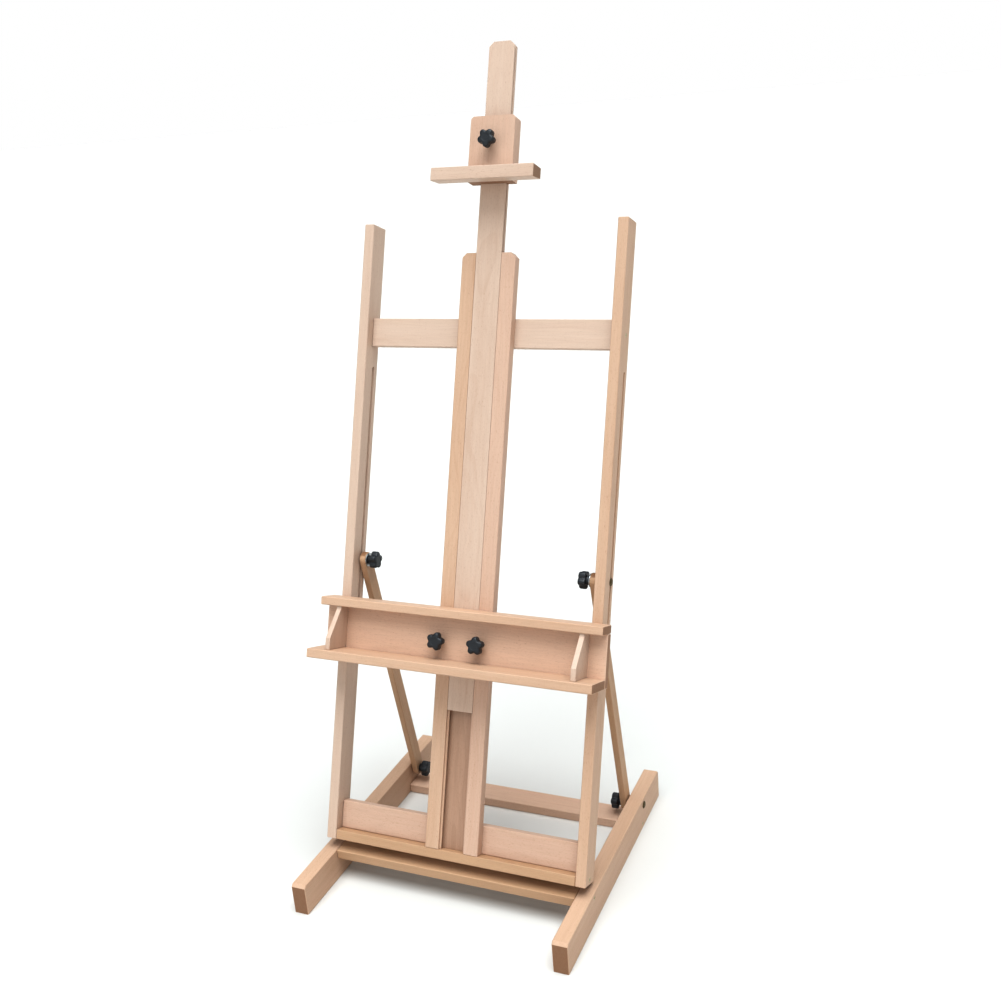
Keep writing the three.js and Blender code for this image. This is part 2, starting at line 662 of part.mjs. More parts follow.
function clamp() {
  const group = new THREE.Group();
  const mesh = piece('clamp_block', clampBlock(), BEECH);
  mesh.position.z = CLAMP_LOW;
  group.add(mesh);
  group.add(piece('clamp_ledge', clampLedge(), BEECH));
  const hubY = -CLAMP_FRONT_T - KNOB_STAND_OFF;
  group.add(piece('clamp_knob', frontKnob(0, hubY, CLAMP_KNOB_Z, -Math.PI / 2), BLACK));
  group.add(piece('clamp_stud', stud(0, hubY, CLAMP_KNOB_Z), STEEL));
  return group;
}

// Threaded stud of a front knob, which ends just short of the timber that it presses on.
function stud(x, hubY, z) {
  return barY(STUD_R, hubY - STUD_IN_KNOB, -STUD_SHORT, x, z);
}

// ---------------------------------------------------------------- tray

function divider() {
  const back = -GAP * 2 - TRAY_BOARD_T;
  const z0 = TRAY_LOW + TRAY_FLOOR_T + GAP;
  const z1 = TRAY_LOW + TRAY_BACK_H;
  const profile = outline([
    [back - DIVIDER_FOOT_D, z0], [back, z0], [back, z1], [back - DIVIDER_TOP_D, z1],
    [back - DIVIDER_TOP_D, z1 - DIVIDER_TOP_H], [back - DIVIDER_FOOT_D, z0 + DIVIDER_NOSE_H],
  ]);
  const plate = prism(profile, DIVIDER_T).rotateY(Math.PI / 2).rotateX(Math.PI / 2);
  return plate.translate(DIVIDER_X - DIVIDER_T / 2, 0, 0);
}

// Block behind the tray that reaches round the outer side of a guide rail.
function hook() {
  const y1 = RAIL_T + 2 * GAP;
  const section = outline([
    [RAIL_OUTER + 2 * GAP, -GAP / 2], [HOOK_OUTER, -GAP / 2], [HOOK_OUTER, y1 + HOOK_LIP_T],
    [HOOK_INNER, y1 + HOOK_LIP_T], [HOOK_INNER, y1], [RAIL_OUTER + 2 * GAP, y1],
  ]);
  return prism(section, HOOK_H).translate(0, 0, HOOK_LOW);
}

function tray() {
  const group = new THREE.Group();
  const a = TRAY_HALF;
  const back = -1.5 * GAP;
  const front = back - TRAY_BOARD_T;
  const plank = board(-a, a, front, back, TRAY_LOW, TRAY_LOW + TRAY_BACK_H, 'x');
  const holes = [-TRAY_KNOB_X, TRAY_KNOB_X].map((x) => (
    barY(STUD_R + GAP, front - OVER, back + OVER, x, TRAY_KNOB_Z)
  ));
  group.add(piece('tray_back_board', cut(plank, ...holes), BEECH_RED));
  const floorEnd = front - GAP / 2;
  const floor = board(-a, a, TRAY_FRONT_Y, floorEnd, TRAY_LOW, TRAY_LOW + TRAY_FLOOR_T, 'x');
  group.add(piece('tray_floor', floor, BEECH));
  const z0 = TRAY_LOW + TRAY_BACK_H + GAP;
  const ledge = board(-a, a, CANVAS_LEDGE_Y, back, z0, z0 + CANVAS_LEDGE_T, 'x');
  group.add(piece('canvas_ledge', ledge, BEECH));
  addPair(group, 'tray_divider', divider(), BEECH);
  addPair(group, 'tray_hook', hook(), BEECH_RED);
  const hubY = front - KNOB_STAND_OFF;
  const leftKnob = frontKnob(-TRAY_KNOB_X, hubY, TRAY_KNOB_Z, LEFT_KNOB_TURN);
  const rightKnob = frontKnob(TRAY_KNOB_X, hubY, TRAY_KNOB_Z, Math.PI / 2);
  group.add(piece('left_tray_knob', leftKnob, BLACK));
  group.add(piece('right_tray_knob', rightKnob, BLACK));
  addPair(group, 'tray_stud', stud(TRAY_KNOB_X, hubY, TRAY_KNOB_Z), STEEL);
  return group;
}

// ---------------------------------------------------------------- assembly

// Everything that leans, turned about the hinge pins.
function leaningFrame() {
  const upright = new THREE.Group();
  upright.position.set(0, -POST_D - HINGE_BACK, HINGE_RISE);
  upright.add(frame(), slotClamps(), mast(), clamp(), tray());
  const turnedGroup = new THREE.Group();
  turnedGroup.position.set(0, HINGE_Y, HINGE_Z);
  turnedGroup.rotation.x = -TILT;
  turnedGroup.add(upright);
  return turnedGroup;
}

const easel = new THREE.Group();
easel.add(base(), struts(), footKnobs(), leaningFrame());

// Bounding box runs from the front ends of the feet to the rear edge of the mast top.
const [rearmostY] = leaning(MAST_T, MAST_LOW + MAST_L);
easel.position.y = -(FOOT_FRONT_Y + rearmostY) / 2;

export default easel;
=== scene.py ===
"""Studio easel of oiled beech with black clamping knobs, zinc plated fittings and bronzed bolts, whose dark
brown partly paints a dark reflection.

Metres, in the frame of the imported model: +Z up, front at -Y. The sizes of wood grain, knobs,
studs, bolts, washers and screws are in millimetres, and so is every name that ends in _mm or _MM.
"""

import json
import math

import bmesh
import bpy
from mathutils import Matrix, Vector

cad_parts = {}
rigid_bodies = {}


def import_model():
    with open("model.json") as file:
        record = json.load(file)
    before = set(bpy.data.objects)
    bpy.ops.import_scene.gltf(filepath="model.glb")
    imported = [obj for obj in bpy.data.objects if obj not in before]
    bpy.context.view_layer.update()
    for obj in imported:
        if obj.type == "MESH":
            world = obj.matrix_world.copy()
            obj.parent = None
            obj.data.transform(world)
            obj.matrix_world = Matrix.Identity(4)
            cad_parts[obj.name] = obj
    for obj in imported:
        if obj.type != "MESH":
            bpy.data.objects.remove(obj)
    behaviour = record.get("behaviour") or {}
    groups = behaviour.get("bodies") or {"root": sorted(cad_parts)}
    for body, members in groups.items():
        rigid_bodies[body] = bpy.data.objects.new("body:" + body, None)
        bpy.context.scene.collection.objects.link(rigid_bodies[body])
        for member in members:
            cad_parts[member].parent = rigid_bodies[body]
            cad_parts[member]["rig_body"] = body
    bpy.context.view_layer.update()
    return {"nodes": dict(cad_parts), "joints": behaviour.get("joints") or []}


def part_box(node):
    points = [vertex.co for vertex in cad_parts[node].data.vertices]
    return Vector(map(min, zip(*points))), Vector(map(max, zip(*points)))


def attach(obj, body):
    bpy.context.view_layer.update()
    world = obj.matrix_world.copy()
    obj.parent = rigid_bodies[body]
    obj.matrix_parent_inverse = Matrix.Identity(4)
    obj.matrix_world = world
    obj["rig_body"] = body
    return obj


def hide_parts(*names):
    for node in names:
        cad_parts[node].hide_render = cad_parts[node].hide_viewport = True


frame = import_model()
MM = 0.001

# ---------------------------------------------------------------- places taken from the frame

JOINTS = {joint["name"]: joint for joint in frame["joints"]}
TILT = math.radians(20.5)  # lean of the frame behind vertical
FRAME_DEPTH = 52.8 * MM  # from the front faces of the posts to the hinge pins
FRAME_RISE = 2.9 * MM  # from the hinge pins to the lower ends of the posts
HINGE = Vector(JOINTS["frame_tilt"]["pos_m"])
STRUT_FOOT = Vector(JOINTS["right_strut_swing"]["pos_m"])
SLOT_BOLT = Vector(JOINTS["right_slot_knob_turn"]["pos_m"])

# From the upright coordinates of the leaning frame to the floor frame.
LEAN = (
    Matrix.Translation(HINGE)
    @ Matrix.Rotation(-TILT, 4, "X")
    @ Matrix.Translation((0, -FRAME_DEPTH, FRAME_RISE))
)
STRUT_LEAN = math.atan2(STRUT_FOOT.y - SLOT_BOLT.y, SLOT_BOLT.z - STRUT_FOOT.z)

SIDES = (("left", -1), ("right", 1))


def both(name):
    return [f"{side}_{name}" for side, _ in SIDES]


# ---------------------------------------------------------------- shader helpers

# Cosines between the true normal and the rounded one, where an edge starts and where it is full.
EDGE_STARTS = 0.995
EDGE_IS_FULL = 0.86

class Look:
    """A node material under construction."""

    def __init__(self, name):
        self.material = bpy.data.materials.new(name)
        self.material.use_nodes = True
        self.tree = self.material.node_tree
        self.tree.nodes.clear()
        self.coords = self.add("ShaderNodeTexCoord")
        self.shader = self.add("ShaderNodeBsdfPrincipled")
        output = self.add("ShaderNodeOutputMaterial")
        self.link(self.shader.outputs[0], output.inputs[0])

    def link(self, source, target):
        self.tree.links.new(source, target)

    def put(self, node, socket, value):
        if isinstance(value, bpy.types.NodeSocket):
            self.link(value, node.inputs[socket])
        else:
            node.inputs[socket].default_value = value

    def add(self, kind, inputs=None, **settings):
        node = self.tree.nodes.new(kind)
        for key, value in settings.items():
            setattr(node, key, value)
        for socket, value in (inputs or {}).items():
            self.put(node, socket, value)
        return node

    def math(self, operation, *values):
        inputs = dict(enumerate(values))
        return self.add("ShaderNodeMath", inputs, operation=operation).outputs[0]

    def vector(self, operation, a, b):
        node = self.add("ShaderNodeVectorMath", {0: a}, operation=operation)
        self.put(node, "Scale" if operation == "SCALE" else 1, b)
        return node.outputs["Value" if operation == "DOT_PRODUCT" else "Vector"]

    def noise(self, vector, stretch, detail=2.0, roughness=0.5):
        """Noise of about 0 to 1, with stretch waves to a unit of vector in each direction."""
        scaled = self.vector("MULTIPLY", vector, stretch)
        inputs = {"Vector": scaled, "Scale": 1.0, "Detail": detail, "Roughness": roughness}
        return self.add("ShaderNodeTexNoise", inputs).outputs[0]

    def ramp(self, value, low, high, out_low=0.0, out_high=1.0):
        """Smooth step from out_low at low to out_high at high."""
        inputs = {0: value, 1: low, 2: high, 3: out_low, 4: out_high}
        return self.add("ShaderNodeMapRange", inputs, interpolation_type="SMOOTHSTEP").outputs[0]

    def mix(self, factor, a, b, blend="MIX"):
        node = self.add("ShaderNodeMix", {0: factor, 6: a, 7: b}, data_type="RGBA", blend_type=blend)
        return node.outputs[2]

    def edge(self, radius_mm):
        """0 on flat faces, rising towards 1 on an edge."""
        bevel = self.add("ShaderNodeBevel", {"Radius": radius_mm * MM}, samples=4)
        plain = self.add("ShaderNodeNewGeometry")
        match = self.vector("DOT_PRODUCT", bevel.outputs[0], plain.outputs["Normal"])
        return self.ramp(match, EDGE_STARTS, EDGE_IS_FULL)

    def bump(self, height, depth_mm, strength=0.6):
        inputs = {"Height": height, "Distance": depth_mm * MM, "Strength": strength}
        node = self.add("ShaderNodeBump", inputs)
        self.link(node.outputs[0], self.shader.inputs["Normal"])


def srgb(red, green, blue):
    """Linear colour of an sRGB triple of 0 to 255."""
    parts = [c / 255 for c in (red, green, blue)]
    linear = [c / 12.92 if c <= 0.04045 else ((c + 0.055) / 1.055) ** 2.4 for c in parts]
    return (*linear, 1.0)


# ---------------------------------------------------------------- beech

# Early wood and late wood colours of the boards the easel is made from. The tan pair also paints shade, and
# the bright pair paints light.
# The bright tone is lighter than the wood itself: it paints light on the rear crossbar and the tray's back
# board.
PAINTED_LIGHT_TONE = (srgb(213, 183, 161), srgb(196, 159, 136))
PALE = (srgb(204, 182, 165), srgb(188, 159, 139))
ROSY = (srgb(203, 174, 154), srgb(187, 150, 128))
# Tan is darker than the wood itself: it paints the shade under the tray and the ledge.
PAINTED_SHADE_TAN = (srgb(190, 157, 127), srgb(165, 128, 97))
HONEY = (srgb(201, 171, 147), srgb(182, 146, 119))
GREYISH = (srgb(182, 150, 128), srgb(152, 119, 97))

RING_MM = 2.6  # growth of one year
WANDER_MM = 26.0  # how far the rings swerve in all
DRIFT = (0.012, 0.006)  # how fast the heart leaves the board, across and through it
LATE_WOOD = 0.16  # share of the late wood in the shade
FLECK = srgb(142, 92, 64)
FLECK_STRENGTH = 0.34
# End grain takes up more finish and is darker; the tint goes beyond that to paint shade on the end faces.
END_GRAIN_AND_SHADE_TINT = (0.52, 0.42, 0.34, 1.0)
SEED_STEP = (37.0, 91.0, 513.0)

# Waves of noise in a millimetre, across the board, through it and along its grain.
WANDER_WAVES = (0.011, 0.011, 0.0035)
BROAD_WAVES = (0.014, 0.014, 0.0022)
STREAK_WAVES = (0.13, 0.13, 0.0045)
FIBRE_WAVES = (1.1, 1.1, 0.022)
FLECK_WAVES = (1.5, 1.5, 0.2)
PORE_WAVES = (1.3, 1.3, 0.3)
WEAR_WAVES = (0.2, 0.2, 0.05)


def beech(name, turn, tone, seed, pith, centre):
    """Beech cut with its grain along the local Z axis of turn.

    pith is where the heart of the trunk lies across and through the board, from its centre.
    The board runs slightly out of parallel with it, which draws arches on the wide faces.
    """
    look = Look(name)
    mapping = look.add("ShaderNodeMapping", vector_type="TEXTURE")
    look.put(mapping, "Vector", look.coords.outputs["Object"])
    look.put(mapping, "Location", centre)
    look.put(mapping, "Rotation", turn.to_euler())
    look.put(mapping, "Scale", (MM, MM, MM))
    board = mapping.outputs[0]
    place = look.vector("ADD", board, [step * seed for step in SEED_STEP])

    swerve = look.noise(place, WANDER_WAVES, 1.0)
    wander = look.math("MULTIPLY_ADD", swerve, WANDER_MM, -WANDER_MM / 2)
    parts = look.add("ShaderNodeSeparateXYZ", {0: board}).outputs
    across = look.math("MULTIPLY_ADD", parts[2], -DRIFT[0], look.math("SUBTRACT", parts[0], pith[0]))
    through = look.math("MULTIPLY_ADD", parts[2], -DRIFT[1], look.math("SUBTRACT", parts[1], pith[1]))
    squares = look.math("ADD", look.math("MULTIPLY", across, across), look.math("MULTIPLY", through, through))
    radius = look.math("SQRT", squares)
    rings = look.math("DIVIDE", look.math("ADD", radius, wander), RING_MM)
    phase = look.math("FRACT", rings)
    late = look.math("MULTIPLY", look.ramp(phase, 0.3, 0.9), look.ramp(phase, 1.0, 0.92))
    year = look.add("ShaderNodeTexWhiteNoise", {"W": look.math("FLOOR", rings)}, noise_dimensions="1D")
    late = look.math("MULTIPLY", late, look.math("MULTIPLY_ADD", year.outputs[0], 0.75, 0.25))

    broad = look.noise(place, BROAD_WAVES, 2.0)
    streak = look.noise(place, STREAK_WAVES, 3.0, 0.6)
    fibre = look.noise(place, FIBRE_WAVES, 2.0, 0.6)
    spots = look.noise(place, FLECK_WAVES, 1.0)
    fleck = look.ramp(spots, 0.62, 0.74)

    light, dark = tone
    shade = look.math("MULTIPLY_ADD", streak, 0.55, look.math("MULTIPLY_ADD", broad, 0.7, -0.42))
    shade = look.math("MULTIPLY_ADD", late, LATE_WOOD, shade)
    color = look.mix(look.ramp(shade, -0.1, 1.0), light, dark)
    color = look.mix(look.math("MULTIPLY", fleck, FLECK_STRENGTH), color, FLECK)
    color = look.vector("SCALE", color, look.math("MULTIPLY_ADD", fibre, 0.22, 0.89))

    grain = turn @ Vector((0, 0, 1))
    facing = look.vector("DOT_PRODUCT", look.coords.outputs["Normal"], grain)
    end = look.ramp(look.math("ABSOLUTE", facing), 0.75, 0.95)
    pores = look.ramp(look.noise(place, PORE_WAVES, 2.0), 0.55, 0.75, 1.0, 0.82)
    # End faces: darker end grain and pores, with painted shade.
    ends_with_painted_shade = look.vector("SCALE", look.mix(1.0, color, END_GRAIN_AND_SHADE_TINT, "MULTIPLY"), pores)
    color = look.mix(end, color, ends_with_painted_shade)

    worn = look.math("MULTIPLY", look.edge(1.4), look.ramp(look.noise(place, WEAR_WAVES), 0.35, 0.7))
    color = look.mix(look.math("MULTIPLY", worn, 0.3), color, light)
    look.put(look.shader, "Base Color", color)

    rough = look.math("MULTIPLY_ADD", streak, 0.16, 0.44)
    rough = look.math("MULTIPLY_ADD", end, 0.18, rough)
    look.put(look.shader, "Roughness", look.math("MULTIPLY_ADD", worn, -0.08, rough))
    look.shader.inputs["Specular IOR Level"].default_value = 0.42
    height = look.math("MULTIPLY_ADD", fleck, -0.5, look.math("MULTIPLY_ADD", late, 0.5, fibre))
    look.bump(height, 0.12)
    return look.material


# ---------------------------------------------------------------- plastic and metal


def moulded_plastic(name):
    """Black plastic with the fine spark finish of a mould, polished a little on its edges."""
    look = Look(name)
    place = look.vector("SCALE", look.coords.outputs["Object"], 1 / MM)
    grit = look.noise(place, (2.6, 2.6, 2.6), 3.0, 0.65)
    cloud = look.noise(place, (0.09, 0.09, 0.09), 2.0)
    worn = look.math("MULTIPLY", look.edge(0.9), look.ramp(look.noise(place, (0.5, 0.5, 0.5)), 0.35, 0.7))
    color = look.mix(cloud, srgb(30, 33, 37), srgb(44, 48, 53))
    color = look.mix(look.math("MULTIPLY", worn, 0.5), color, srgb(84, 90, 96))
    look.put(look.shader, "Base Color", color)
    rough = look.math("MULTIPLY_ADD", cloud, 0.14, 0.36)
    look.put(look.shader, "Roughness", look.math("MULTIPLY_ADD", worn, -0.1, rough))
    look.bump(grit, 0.09, 0.5)
    return look.material


def plated(name, bright, dull, rough):
    """Zinc plated steel with the mottling of the bath."""
    look = Look(name)
    place = look.vector("SCALE", look.coords.outputs["Object"], 1 / MM)
    mottle = look.noise(place, (0.5, 0.5, 0.5), 3.0, 0.6)
    scratch = look.noise(place, (3.5, 0.5, 3.5), 2.0, 0.6)
    look.put(look.shader, "Base Color", look.mix(look.ramp(mottle, 0.3, 0.7), bright, dull))
    look.shader.inputs["Metallic"].default_value = 1.0
    look.put(look.shader, "Roughness", look.math("MULTIPLY_ADD", scratch, 0.25, rough))
    look.bump(scratch, 0.02, 0.4)
    return look.material


KNOB_LOOK = moulded_plastic("black_knob_plastic")
STEEL_LOOK = plated("plated_steel", srgb(196, 198, 199), srgb(150, 152, 152), 0.2)
ZINC_LOOK = plated("yellow_zinc", srgb(206, 199, 168), srgb(160, 150, 118), 0.24)
# The dark brown is partly a bronzed finish and partly a painted dark reflection of the surroundings.
BRONZE_AND_REFLECTION_LOOK = plated("bronzed_steel_painted_reflection", srgb(126, 112, 86), srgb(84, 72, 52), 0.34)

# ---------------------------------------------------------------- boards

UPRIGHT = Matrix.Rotation(-TILT, 3, "X")
ACROSS = Matrix.Rotation(math.pi / 2, 3, "Y")
LEANING_ACROSS = UPRIGHT @ ACROSS
LENGTHWISE = Matrix.Rotation(math.pi / 2, 3, "X")
STRUTWISE = Matrix.Rotation(STRUT_LEAN, 3, "X")

BOARD_EDGE_MM = 0.6

# node: (grain direction, colours, seed, pith across and through the board in mm)
# Boards given the bright tone carry painted light.
# Boards given the tan tone carry painted shade.
BOARDS = {
    "left_foot": (LENGTHWISE, HONEY, 1, (70, 55)),
    "right_foot": (LENGTHWISE, HONEY, 2, (-85, 40)),
    "front_crossbar": (ACROSS, PAINTED_SHADE_TAN, 3, (60, -30)),
    "rear_crossbar": (ACROSS, PAINTED_LIGHT_TONE, 4, (90, 15)),
    "left_post": (UPRIGHT, PALE, 5, (75, 20)),
    "right_post": (UPRIGHT, HONEY, 6, (-90, 10)),
    "upper_crossbar": (LEANING_ACROSS, PALE, 7, (25, 80)),
    "lower_cross_board": (LEANING_ACROSS, ROSY, 8, (10, 95)),
    "bottom_ledge": (LEANING_ACROSS, PAINTED_SHADE_TAN, 9, (70, -20)),
    "left_guide_rail": (UPRIGHT, HONEY, 10, (20, 85)),
    "right_guide_rail": (UPRIGHT, ROSY, 11, (-30, 70)),
    "channel_back_strip": (UPRIGHT, GREYISH, 12, (5, 45)),
    "mast": (UPRIGHT, PALE, 13, (-12, 90)),
    "clamp_block": (UPRIGHT, ROSY, 14, (25, 75)),
    "clamp_ledge": (LEANING_ACROSS, PALE, 15, (-60, 30)),
    "tray_back_board": (LEANING_ACROSS, PAINTED_LIGHT_TONE, 16, (30, 110)),
    "tray_floor": (LEANING_ACROSS, HONEY, 17, (65, 35)),
    "canvas_ledge": (LEANING_ACROSS, HONEY, 18, (50, -60)),
    "left_tray_divider": (UPRIGHT, PALE, 19, (60, 10)),
    "right_tray_divider": (UPRIGHT, PALE, 20, (-60, 15)),
    "left_tray_hook": (UPRIGHT, PAINTED_SHADE_TAN, 21, (40, 50)),
    "right_tray_hook": (UPRIGHT, PAINTED_SHADE_TAN, 22, (-45, 50)),
    "left_strut": (STRUTWISE, PAINTED_SHADE_TAN, 23, (60, 12)),
    "right_strut": (STRUTWISE, PAINTED_SHADE_TAN, 24, (-65, 9)),
}


SHARP_ANGLE = math.radians(35)
CORNER_ANGLE = math.radians(20)
FLAT_ANGLE = math.radians(0.5)
SAME_POINT = 1e-6  # metres


def smooth_by_angle():
    """Node group that shades faces smooth and keeps edges of over SHARP_ANGLE sharp."""
    group = bpy.data.node_groups.new("smooth_by_angle", "GeometryNodeTree")
    group.interface.new_socket("Geometry", in_out="INPUT", socket_type="NodeSocketGeometry")
    group.interface.new_socket("Geometry", in_out="OUTPUT", socket_type="NodeSocketGeometry")
    source = group.nodes.new("NodeGroupInput")
    target = group.nodes.new("NodeGroupOutput")
    faces = group.nodes.new("GeometryNodeSetShadeSmooth")
    edges = group.nodes.new("GeometryNodeSetShadeSmooth")
    edges.domain = "EDGE"
    angle = group.nodes.new("GeometryNodeInputMeshEdgeAngle")
    below = group.nodes.new("FunctionNodeCompare")
    below.operation = "LESS_THAN"
    below.inputs[1].default_value = SHARP_ANGLE
    group.links.new(angle.outputs[0], below.inputs[0])
    group.links.new(source.outputs[0], faces.inputs["Geometry"])
    group.links.new(faces.outputs[0], edges.inputs["Geometry"])
    group.links.new(below.outputs[0], edges.inputs["Shade Smooth"])
    group.links.new(edges.outputs[0], target.inputs[0])
    return group


SMOOTH = smooth_by_angle()


def soften(piece, radius_mm, segments=3):
    """Rounds the edges of a piece that is kept from the frame, without touching its mesh."""
    weld = piece.modifiers.new("weld", "WELD")
    weld.merge_threshold = SAME_POINT
    flat = piece.modifiers.new("whole_faces", "DECIMATE")
    flat.decimate_type = "DISSOLVE"
    flat.angle_limit = FLAT_ANGLE
    bevel = piece.modifiers.new("rounded_edges", "BEVEL")
    bevel.width = radius_mm * MM
    bevel.segments = segments
    bevel.limit_method = "ANGLE"
    bevel.angle_limit = CORNER_ANGLE
    nodes = piece.modifiers.new("smooth", "NODES")
    nodes.node_group = SMOOTH
    normals = piece.modifiers.new("flat_faces", "WEIGHTED_NORMAL")
    normals.keep_sharp = True


def dress(name, material):
    piece = frame["nodes"][name]
    piece.data.materials.clear()
    piece.data.materials.append(material)
    return piece


for board_name, (turn, tone, seed, pith) in BOARDS.items():
    low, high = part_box(board_name)
    material = beech(f"beech_{board_name}", turn, tone, seed, pith, centre=(low + high) / 2)
    soften(dress(board_name, material), BOARD_EDGE_MM)

# ---------------------------------------------------------------- turned and moulded pieces


def finished(name, mesh, material, place, node):
    """Puts a new piece where place says and lets it stand for a node of the frame."""
    mesh.materials.append(material)
    for polygon in mesh.polygons:
        polygon.use_smooth = True
    piece = bpy.data.objects.new(name, mesh)
    bpy.context.scene.collection.objects.link(piece)
    piece.matrix_world = place
    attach(piece, frame["nodes"][node]["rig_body"])
    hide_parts(node)
    piece.modifiers.new("smooth", "NODES").node_group = SMOOTH


def lathe(name, rings, steps, shape=None):
    """Mesh turned on Z from (radius, height) rings in mm; a ring of radius 0 is a point on the axis.

    shape(ring number, angle) is how far the outline stands out beyond the radius.
    """
    mesh = bpy.data.meshes.new(name)
    build = bmesh.new()
    rows = []
    for number, (radius, height) in enumerate(rings):
        if radius == 0:
            rows.append([build.verts.new((0, 0, height * MM))])
            continue
        row = []
        for step in range(steps):
            angle = step / steps * math.tau
            out = (radius + (shape(number, angle) if shape else 0)) * MM
            row.append(build.verts.new((out * math.cos(angle), out * math.sin(angle), height * MM)))
        rows.append(row)
    for lower, upper in zip(rows, rows[1:]):
        for step in range(steps):
            after = (step + 1) % steps
            if len(lower) == 1:
                build.faces.new((lower[0], upper[after], upper[step]))
            elif len(upper) == 1:
                build.faces.new((lower[step], lower[after], upper[0]))
            else:
                build.faces.new((lower[step], lower[after], upper[after], upper[step]))
    bmesh.ops.recalc_face_normals(build, faces=build.faces)
    build.to_mesh(mesh)
    build.free()
    return mesh


KNOB_LOBES = 5
KNOB_LOBE = 2.3  # how far a lobe stands out, and a hollow goes in
KNOB_FULLNESS = 1.5  # above 1, lobes are wider than hollows
KNOB_STEPS = 100
TURNED_STEPS = 48
THREAD_STEPS = 24
BORE_PLAY = 0.3
BORE_SPARE = 0.6
BORE_MOUTH = 0.6  # depth of the chamfer
# Radius, height and share of the lobes of each ring of a knob, from the mouth of its bore to its top.
KNOB_RINGS = [
    (4.9, 0, 0), (8.3, 0, 0), (8.8, 0.25, 0), (9, 0.8, 0), (9, 5.2, 0),
    (9.3, 5.75, 0), (10.4, 6.0, 0.35), (12.2, 6.15, 0.7), (13.6, 6.5, 0.9), (14.7, 7.3, 1),
    (15.25, 8.4, 1), (15.4, 9.8, 1), (15.4, 17.4, 1), (15.2, 18.9, 1), (14.6, 20.2, 1),
    (13.5, 21.2, 0.95), (12.0, 21.8, 0.85), (10.2, 22.1, 0.55), (8.6, 22.2, 0.2), (7.9, 22.2, 0),
    (7.6, 22.1, 0), (7.4, 21.9, 0), (7.0, 21.85, 0), (3.5, 21.9, 0), (0, 21.95, 0),
]


def knob(node, place, turn, rod, reach):
    """Five lobed clamping knob on the local Z axis of place, hub face at the origin.

    rod is the radius of the bolt or stud in its blind bore, and reach how deep it goes in, in mm.
    """
    bore = rod + BORE_PLAY
    depth = reach + BORE_SPARE
    rings = [(0, depth, 0), (bore, depth, 0), (bore, BORE_MOUTH, 0)] + KNOB_RINGS

    def lobe(number, angle):
        hollow = (1 - math.cos(KNOB_LOBES * (angle - turn))) / 2
        return rings[number][2] * KNOB_LOBE * (1 - 2 * hollow**KNOB_FULLNESS)

    mesh = lathe(f"{node}_moulding", [ring[:2] for ring in rings], KNOB_STEPS, lobe)
    finished(f"{node}_moulding", mesh, KNOB_LOOK, place, node)


STUD_R = 4
STUD_PITCH = 1.25
STUD_ROWS = 6  # rings to one turn of the thread
STUD_GROOVE = 0.61 * STUD_PITCH
STUD_POINT = 1.0  # length that narrows at the end
STUD_POINT_CUT = 0.8


def threaded(name, length):
    """Stud with a helical thread, from z = 0 up to length."""
    rows = int(length / STUD_PITCH * STUD_ROWS)
    rings = [(0, 0)] + [(STUD_R, length * i / rows) for i in range(rows + 1)] + [(0, length)]

    def depth(number, angle):
        height = rings[number][1]
        turn = (height / STUD_PITCH - angle / math.tau) % 1
        groove = 1 - abs(2 * turn - 1)
        near_end = min(1, (length - height) / STUD_POINT)
        return -STUD_GROOVE * groove - STUD_POINT_CUT * (1 - near_end)

    return lathe(name, rings, THREAD_STEPS, depth)


def axis_frame(origin, direction):
    """Matrix at origin whose Z axis is direction and whose X axis is level."""
    z = Vector(direction).normalized()
    x = Vector((0, 0, 1)).cross(z).normalized()
    y = z.cross(x)
    turn = Matrix((x, y, z)).transposed().to_4x4()
    return Matrix.Translation(origin) @ turn


def leaning(x, y, z):
    """Point of the floor frame, from mm in the upright coordinates of the leaning frame."""
    return LEAN @ Vector((x * MM, y * MM, z * MM))


FORWARD = LEAN.to_3x3() @ Vector((0, -1, 0))
TRAY_KNOB = (42.2, -27.45, 433)
CLAMP_KNOB = (0, -30, 1403.5)
STUD_REACH = 14
STUD_GAP = 0.5  # air between a stud and the timber that it presses on, whose front is at y = 0
BOLT_R = 3

for side, sign in SIDES:
    x, y, z = TRAY_KNOB
    start = math.radians(90 if sign > 0 else 75)
    knob(f"{side}_tray_knob", axis_frame(leaning(sign * x, y, z), FORWARD), start, STUD_R, STUD_REACH)
    for kind in ("slot", "foot"):
        name = f"{side}_{kind}_knob"
        low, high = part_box(name)
        hub = high if sign > 0 else low
        centre = Vector(JOINTS[f"{name}_turn"]["pos_m"])
        start = math.pi / 10 if kind == "foot" else 0
        bolt_low, bolt_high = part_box(f"{side}_{kind}_bolt")
        tip = bolt_low.x if sign > 0 else bolt_high.x
        reach = abs(hub.x - tip) / MM
        knob(name, axis_frame((hub.x, centre.y, centre.z), (-sign, 0, 0)), start, BOLT_R, reach)
knob("clamp_knob", axis_frame(leaning(*CLAMP_KNOB), FORWARD), -math.pi / 2, STUD_R, STUD_REACH)

for node, (x, y, z) in (
    ("left_tray_stud", (-TRAY_KNOB[0], *TRAY_KNOB[1:])),
    ("right_tray_stud", TRAY_KNOB),
    ("clamp_stud", CLAMP_KNOB),
):
    mesh = threaded(f"{node}_thread", STUD_REACH - y - STUD_GAP)
    place = axis_frame(leaning(x, y - STUD_REACH, z), -FORWARD)
    finished(f"{node}_thread", mesh, STEEL_LOOK, place, node)

BOLT_HEAD = [(8, 0), (8.05, 0.25), (7.7, 0.85), (6.6, 1.75), (5, 2.5), (3, 3.0), (1.4, 3.17), (0, 3.2)]
BOLT_HEAD_T = 3.2
BOLT_SHANK = [(0, 0), (2.0, 0), (BOLT_R, 1.0)]
BOLT_NECK = 0.2  # fillet under the head

